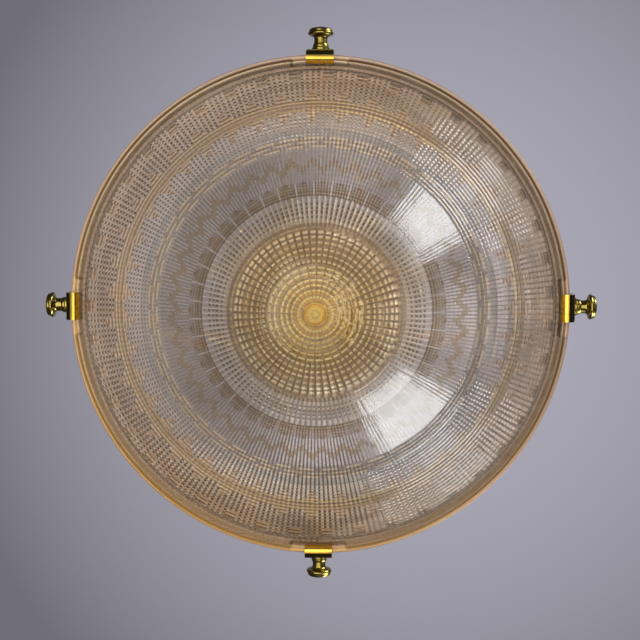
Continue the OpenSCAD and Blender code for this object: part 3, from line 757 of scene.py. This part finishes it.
# Relief of the facets: heights in metres, and pitches across the bowl in pixels
INNER_RIB_MOST, INNER_RIB_SHARE = 0.00028, 0.22
INNER_RING_H, INNER_PITCH = 0.00016, 4.2
MIDDLE_RING_H, MIDDLE_PITCH = 0.00006, 6.0
SMOOTH_RING_H, SMOOTH_PITCH, SMOOTH_RIB_H = 0.000012, 3.0, 0.00002
BAR_RIB_H, OUTER_RIB_H = 0.00003, 0.00011
OUTER_ROW_H = ((195, 0.00012), (216, 0.00016), (math.inf, 0.00020))
# Towards the rim it is deepest in one direction, and elsewhere it has the least share of its depth
DEEP_TURN = math.radians(8)
DEEP_COS, DEEP_RAMP = 0.15, 0.3
DEEP_LEAST = 0.25


def inner_relief(px, r, theta):
    """How far the inner face stands out of its curve."""
    count = rib_count(px)
    depth = min(INNER_RIB_MOST, INNER_RIB_SHARE * TAU * r / count / 2)
    return depth * triangle(count * theta / TAU) + INNER_RING_H * triangle(px / INNER_PITCH)


def outer_relief(px, r, theta):
    """How far the outer face stands out of its curve, towards the rim most on the right."""
    if r < BUTTON_R:
        return BUTTON_H * math.sqrt(1 - (r / BUTTON_R) ** 2)
    if px < STEP_END:
        return MIDDLE_RING_H * triangle(px / MIDDLE_PITCH)
    if px < OUTER_START:
        ribs = SMOOTH_RIB_H * triangle(rib_count(px) * theta / TAU)
        return SMOOTH_RING_H * triangle(px / SMOOTH_PITCH) + ribs
    if r > BEAD_R[0]:
        across = min(1, (r - BEAD_R[0]) / (BEAD_R[1] - BEAD_R[0]))
        off_clip = np.abs(np.mod(theta + math.pi / 4, math.pi / 2) - math.pi / 4) > SEAT_HALF
        return BEAD_H * math.sin(math.pi * across) * off_clip
    on_bars = BARS_START < px < BARS_END or GOLD_BARS_START < px < GOLD_BARS_END
    ribs = (BAR_RIB_H if on_bars else OUTER_RIB_H) * triangle(6 * BEATS * theta / TAU)
    rows = in_band(px, OUTER_ROW_H) * triangle(px / ROW_PITCH)
    deep = np.clip((np.cos(theta - DEEP_TURN) - DEEP_COS) / DEEP_RAMP, 0, 1)
    return (DEEP_LEAST + (1 - DEEP_LEAST) * deep) * (rows + ribs)


# The rings of the mesh, by radius in pixels, and those of the rounded edge, by angle in degrees
OUTER_PX = np.concatenate([np.arange(1.5, 13, 1.1), np.arange(13, 160, 1.5),
                           np.arange(160, 236, 0.8), np.arange(236, 252, 0.6)])
INNER_PX = np.concatenate([np.arange(245.5, 160, -0.8), np.arange(160, 1.4, -1.05)])
EDGE_BELOW = (-75, -50, -25, 0)
EDGE_ABOVE = (15, 40, 65, 90)
OUTER_STOP = 0.0003
INNER_STOP = 0.002
HALF_STEP = 0.4


def slant(r):
    """Slope of the curve, and how much of a length square to the glass is upright."""
    slope = bowl_slope(r)
    return slope, 1 / math.sqrt(1 + slope * slope)


def bowl_rings():
    """The corners of each ring, and the tints of the facets that follow it, or None."""
    theta = np.arange(COLUMNS) * TAU / COLUMNS
    cos, sin = np.cos(theta), np.sin(theta)

    def corners(r, z):
        r = np.broadcast_to(r, theta.shape)
        z = np.broadcast_to(z, theta.shape)
        return np.stack([r * cos, r * sin, z + POLE_Z], 1)

    # Outer face, from the button to the bead. Only the lines of the rim have tints
    for px in OUTER_PX:
        r = radius_at(px)
        if r > EDGE_R - OUTER_STOP:
            break
        slope, n = slant(r)
        out = outer_relief(px, r, theta)
        tint = next((rim_tint(*line[2:]) for line in RIM_LINES if line[0] < px < line[1]), None)
        yield corners(r + slope * n * out, bowl_h(r) - n * out), tint
    # Rounded edge
    top = float(bowl_h(BOWL_R))
    for angles, z in ((EDGE_BELOW, top + EDGE_ROUND), (EDGE_ABOVE, top + GLASS_T - EDGE_ROUND)):
        for a in map(math.radians, angles):
            edge = corners(EDGE_R + EDGE_ROUND * math.cos(a), z + EDGE_ROUND * math.sin(a))
            yield edge, rim_tint(ROSE, 1.0)
    # Inner face, back to the middle, each ring where the camera sees it through the outer face
    for px in INNER_PX:
        s = radius_at(px)
        if s > EDGE_R - INNER_STOP:
            continue
        slope, n = slant(s)
        a = math.atan(slope)
        shift = GLASS_T * (math.tan(a) - math.tan(a - math.asin(math.sin(a) / BOWL_IOR)))
        r = s - min(shift * n, s * 0.5)
        slope, n = slant(r)
        up = inner_relief(px, s, theta)
        inner = corners(r - slope * n * up, bowl_h(r) + GLASS_T / n + n * up)
        yield inner, ring_tints(px - HALF_STEP)


def make_bowl():
    rings, tints = zip(*bowl_rings())
    count = len(rings)
    poles = np.array([[0, 0, POLE_Z - BUTTON_H], [0, 0, POLE_Z + GLASS_T]])
    co = np.concatenate([*rings, poles])
    i = np.arange(count - 1)[:, None]
    j = np.arange(COLUMNS)
    k = (j + 1) % COLUMNS
    a, b = i * COLUMNS + j, i * COLUMNS + k
    quads = np.stack([a, b, b + COLUMNS, a + COLUMNS], -1).reshape(-1, 4)
    last = (count - 1) * COLUMNS
    low = np.stack([np.full(COLUMNS, count * COLUMNS), k, j], 1)
    high = np.stack([np.full(COLUMNS, count * COLUMNS + 1), last + j, last + k], 1)
    mesh = bpy.data.meshes.new("prismatic_bowl")
    mesh.from_pydata(co.tolist(), [], quads.tolist() + low.tolist() + high.tolist())
    # Facets with tints take the glass that shows them, and so does the middle of the inner face
    tinted = np.array([t is not None for t in tints[:-1]])
    index = np.concatenate([np.repeat(tinted, COLUMNS), np.zeros(COLUMNS, bool),
                            np.ones(COLUMNS, bool)])
    mesh.polygons.foreach_set("material_index", index.astype(np.int32))
    # The middle of the inner face takes the gold of the painted glow of the brass pan; the outer
    # face reads no tints.
    plain = np.tile(np.array(GOLD), (COLUMNS, 1))
    shades = [np.repeat(plain if t is None else t, 4, axis=0) for t in tints[:-1]]
    shades += [np.repeat(plain, 3, axis=0)] * 2
    layer = mesh.attributes.new("tint", "FLOAT_COLOR", "CORNER")
    layer.data.foreach_set("color", np.concatenate(shades).astype(np.float32).ravel())
    mesh.materials.append(OUTER_GLASS)
    mesh.materials.append(INNER_GLASS)
    mesh.update()
    obj = bpy.data.objects.new("prismatic_bowl", mesh)
    scene.collection.objects.link(obj)
    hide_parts("glass_bowl")
    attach(obj, "bowl")


make_bowl()


# Finishes of the CAD nodes
FINISH = {"brass": BRASS, "dark_brass": BRASS_DARK, "steel": STEEL, "ceramic": CERAMIC,
          "felt": FELT, "lamp_glass": LAMP_GLASS, "bowl_glass": OUTER_GLASS}
slots = {s["node"]: s["material_slot"] for s in frame["record"]["subparts"]}
for name, obj in frame["nodes"].items():
    finish = FINISH[slots[name]]
    if name in ("lamp_pan", "pan_lid", "pan_nut", "canopy"):
        finish = BRASS_PAN
    elif name.startswith(("lock_plate", "thumb_nut")):
        finish = BRASS_KNOB
    elif name.startswith("clip_") and not name.startswith("clip_pad"):
        finish = BRASS_CLIP
    obj.data.materials.clear()
    obj.data.materials.append(finish)


# Small pieces: felt under the glass, and what is inside each clear lamp

def make_piece(name, solids, finish, body):
    """One object from solids, each a list of corners and a list of faces."""
    corners, faces = [], []
    for verts, quads in solids:
        faces += [tuple(v + len(corners) for v in face) for face in quads]
        corners += [tuple(v) for v in verts]
    mesh = bpy.data.meshes.new(name)
    mesh.from_pydata(corners, [], faces)
    mesh.polygons.foreach_set("use_smooth", [True] * len(faces))
    mesh.materials.append(finish)
    obj = bpy.data.objects.new(name, mesh)
    scene.collection.objects.link(obj)
    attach(obj, body)
    return obj


def loft(rings):
    """Closed solid through rings of equally many points."""
    sides = len(rings[0])
    faces = []
    for k in range(len(rings) - 1):
        here, ahead = k * sides, (k + 1) * sides
        for s in range(sides):
            after = (s + 1) % sides
            faces.append((here + s, here + after, ahead + after, ahead + s))
    last = (len(rings) - 1) * sides
    faces += [tuple(reversed(range(sides))), tuple(range(last, last + sides))]
    return [p for ring in rings for p in ring], faces


def wire(route, radius, sides=8):
    """Round wire along a route."""
    side = None
    rings = []
    turns = [TAU * s / sides for s in range(sides)]
    for k, p in enumerate(route):
        ahead = (route[min(k + 1, len(route) - 1)] - route[max(k - 1, 0)]).normalized()
        side = ahead.orthogonal().normalized() if side is None else side
        side = (side - side.dot(ahead) * ahead).normalized()
        up = ahead.cross(side)
        rings.append([p + radius * (math.cos(a) * side + math.sin(a) * up) for a in turns])
    return loft(rings)


PAD_STEPS = 48
PAD_SIDES = 20
PAD_SINK = 0.00012
PAD_SQUARE = 0.35
PAD_END_POWER = 24
PAD_END_LEAST = 0.3


def squared(x):
    """Bends a round section towards a square one."""
    return math.copysign(abs(x) ** PAD_SQUARE, x)


def crushed(k, s):
    """From -1 to 1, uneven along the strip and round it."""
    return math.sin(9.1 * k + 5.3 * s) * math.sin(2.3 * k - 3.7 * s)


def make_pad(i):
    """Felt strip with rounded edges and a nap, a little crushed along its length."""
    low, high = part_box(f"clip_pad_{i}")
    middle, half = (low + high) / 2, (high - low) / 2
    long = 0 if half.x > half.y else 1
    rings = []
    for k in range(PAD_STEPS + 1):
        t = 2 * k / PAD_STEPS - 1
        end = max((1 - abs(t) ** PAD_END_POWER) ** 0.5, PAD_END_LEAST)
        ring = []
        for s in range(PAD_SIDES):
            a = TAU * s / PAD_SIDES
            nap = 1 - PAD_SINK / half.z * (0.5 + 0.5 * crushed(k, s))
            p = Vector((0, 0, half.z * squared(math.sin(a)) * nap * end))
            p[long] = half[long] * t
            p[1 - long] = half[1 - long] * squared(math.cos(a)) * nap * end
            ring.append(middle + p)
        rings.append(ring)
    pad = make_piece(f"felt_strip_{i}", [loft(rings)], FELT, f"rim_clip_{i}")
    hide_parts(f"clip_pad_{i}")


# Inside a lamp, in metres from the middle of its ball: outwards from the light, to the side and
# up. The outline of the stem is outwards and radius.
STEM_OUTLINE = ((-0.030, 0.0052), (-0.026, 0.0046), (-0.021, 0.0032), (-0.015, 0.0028),
                (-0.0125, 0.0030), (-0.0110, 0.0024), (-0.0102, 0.0010))
STEM_SIDES = 24
LEAD_ROUTE = ((-0.012, 0.0015, 0), (-0.006, 0.0045, 0), (0.000, 0.0090, 0),
              (0.0015, 0.0095, 0.0002))
LEAD_R = 0.00025
SUPPORT_ROUTE = ((-0.0108, 0, 0), (-0.004, 0, 0.0006), (0.0042, 0, 0.0008))
SUPPORT_R = 0.00018
FILAMENT_TURNS = 46
FILAMENT_STEPS = 8
FILAMENT_COIL = 0.0004
FILAMENT_R = 0.00009
FILAMENT_SIDES = 5
FILAMENT_HALF = 0.0092
FILAMENT_UP = 0.0006
FILAMENT_OUT = 0.0015
FILAMENT_BOW = 0.0027


def make_lamp_inside(i):
    """Glass stem, two leads, a support and a coiled filament."""
    low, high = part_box(f"bulb_glass_{i}")
    middle = (low + high) / 2
    out = Vector((math.copysign(1, middle.x), math.copysign(1, middle.y), 0)).normalized()
    ball_r = (high.z - low.z) / 2
    far = max(abs(high.x), abs(low.x))
    ball = out * ((far - ball_r) / abs(out.x))
    ball.z = middle.z
    side, up = Vector((-out.y, out.x, 0)), Vector((0, 0, 1))

    def at(u, v, w):
        return ball + u * out + v * side + w * up

    turns = [TAU * s / STEM_SIDES for s in range(STEM_SIDES)]
    stem = loft([[at(u, r * math.cos(a), r * math.sin(a)) for a in turns]
                 for u, r in STEM_OUTLINE])
    make_piece(f"lamp_stem_{i}", [stem], LAMP_GLASS, f"lamp_{i}")
    wires = [wire([at(u, s * v, w) for u, v, w in LEAD_ROUTE], LEAD_R) for s in (-1, 1)]
    wires.append(wire([at(*p) for p in SUPPORT_ROUTE], SUPPORT_R))
    coil = []
    steps = FILAMENT_TURNS * FILAMENT_STEPS
    for k in range(steps + 1):
        t = 2 * k / steps - 1
        a = TAU * k / FILAMENT_STEPS
        bow = FILAMENT_OUT + FILAMENT_BOW * (1 - abs(t)) ** 0.8
        coil.append(at(bow + FILAMENT_COIL * math.cos(a), FILAMENT_HALF * t,
                       FILAMENT_UP + FILAMENT_COIL * math.sin(a)))
    wires.append(wire(coil, FILAMENT_R, FILAMENT_SIDES))
    make_piece(f"filament_{i}", wires, TUNGSTEN, f"lamp_{i}")


for number in range(1, 5):
    make_pad(number)
    make_lamp_inside(number)


# Studio: a pale floor, a soft backdrop, and soft boxes on the photograph's right and far below

FLOOR_R = 6.0
FLOOR_Z = -1.9
FLOOR_SIDES = 96
FLOOR_PALE = ((0.74, 0.72, 0.70), (0.68, 0.66, 0.64))
FLOOR_LAMP_RISE = 0.15
FLOOR_POWER = 250


def add_light(name, size, power):
    """An area light that the camera doesn't see."""
    data = bpy.data.lights.new(name, "AREA")
    data.size = size
    data.energy = power
    lamp = bpy.data.objects.new(name, data)
    lamp.visible_camera = False
    scene.collection.objects.link(lamp)
    return lamp


def make_floor():
    """Pale disc with a light of its own."""
    mesh = bpy.data.meshes.new("floor")
    turns = [TAU * k / FLOOR_SIDES for k in range(FLOOR_SIDES)]
    edge = [(FLOOR_R * math.cos(a), FLOOR_R * math.sin(a), 0) for a in turns]
    mesh.from_pydata(edge, [], [tuple(range(FLOOR_SIDES))])

    def pale(g):
        return g.surface(g.mix(g.noise(g.place(), *FLOOR_GRAIN), *FLOOR_PALE), 0.85)

    mesh.materials.append(material("floor", pale))
    obj = bpy.data.objects.new("floor", mesh)
    obj.location.z = FLOOR_Z
    # The brass and the glass are lit by the studio alone, not by the floor
    obj.visible_glossy = False
    obj.visible_diffuse = False
    scene.collection.objects.link(obj)
    add_light("floor_light", 2 * FLOOR_R, FLOOR_POWER).location.z = FLOOR_Z + FLOOR_LAMP_RISE


# Backdrop overhead: its level in the middle, how it leans and how it falls off along X and Y,
# its least level, and the heights between which the walls turn into it
SKY_LEVEL = 0.426
SKY_LEAN = (0.195, 0.188)
SKY_FALL = (1.89, 1.79)
SKY_LEAST = 0.17
SKY_SPAN = (0.45, 0.85)
SKY_COLOUR = (0.962, 0.937, 1.101)
WALL_REFLECTED = (0.050, 0.046, 0.040)
WALL_SEEN = (0.30, 0.29, 0.30)


def make_world():
    world = bpy.data.worlds.new("studio")
    world.use_nodes = True
    scene.world = world
    g = Graph(world.node_tree)
    ahead = g.add("ShaderNodeTexCoord").outputs["Generated"]
    x, y, z = g.add("ShaderNodeSeparateXYZ", {"Vector": ahead}).outputs
    lean = g.math("ADD", g.math("MULTIPLY", x, SKY_LEAN[0]), g.math("MULTIPLY", y, SKY_LEAN[1]))
    glow = g.math("ADD", SKY_LEVEL, lean)
    for axis, fall in zip((x, y), SKY_FALL):
        glow = g.math("SUBTRACT", glow, g.math("MULTIPLY", g.math("POWER", axis, 2.0), fall))
    glow = g.math("MAXIMUM", glow, SKY_LEAST)
    # Walls: seen straight or through glass they are a pale studio, but brass reflects a dark room
    rays = g.add("ShaderNodeLightPath")
    seen = g.math("MAXIMUM", rays.outputs["Is Camera Ray"], rays.outputs["Is Transmission Ray"])
    wall = g.mix(seen, WALL_REFLECTED, WALL_SEEN)
    sky = g.add("ShaderNodeVectorMath", {0: SKY_COLOUR, "Scale": glow}, operation="SCALE")
    colour = g.mix(g.span(z, *SKY_SPAN), wall, sky.outputs["Vector"])
    back = g.add("ShaderNodeBackground", {"Color": colour})
    out = g.add("ShaderNodeOutputWorld")
    g.tree.links.new(back.outputs["Background"], out.inputs["Surface"])


# Soft boxes: azimuth and elevation in degrees, distance and size in metres, power in watts, and
# colour. Both boxes on the right have a larger and fainter one behind them, which softens them.
AIM = Vector((0, 0, -0.33))
COOL_WHITE = (0.97, 0.98, 1.0)
WARM_WHITE = (1.0, 0.95, 0.80)
SOFT_BOXES = (("box_right_up", -37.5, 2, 1.6, (0.68, 0.68), 13.5, COOL_WHITE),
              ("halo_right_up", -37.5, 2, 1.62, (1.0, 1.0), 6, COOL_WHITE),
              ("box_right_down", 52, 0.5, 1.6, (0.86, 0.74), 15.2, COOL_WHITE),
              ("halo_right_down", 52, 0.5, 1.62, (1.2, 1.1), 7, COOL_WHITE),
              ("box_low", 200, -80, 1.46, (1.9, 1.9), 26, WARM_WHITE))


def soft_box(name, azimuth, elevation, distance, size, power, colour):
    a, e = math.radians(azimuth), math.radians(elevation)
    ray = Vector((math.cos(a) * math.cos(e), math.sin(a) * math.cos(e), math.sin(e)))
    obj = add_light(name, size[0], power)
    obj.data.shape = "RECTANGLE"
    obj.data.size_y = size[1]
    obj.data.color = colour
    obj.location = AIM + distance * ray
    obj.rotation_euler = (AIM - obj.location).to_track_quat("-Z", "Y").to_euler()


make_floor()
make_world()
for box in SOFT_BOXES:
    soft_box(*box)

scene.view_settings.view_transform = "Standard"
scene.view_settings.look = "None"
scene.cycles.use_denoising = True
scene.cycles.max_bounces = 14
scene.cycles.transmission_bounces = 12
scene.cycles.transparent_max_bounces = 16
scene.cycles.caustics_reflective = False
scene.cycles.caustics_refractive = True
scene.cycles.sample_clamp_indirect = 6.0
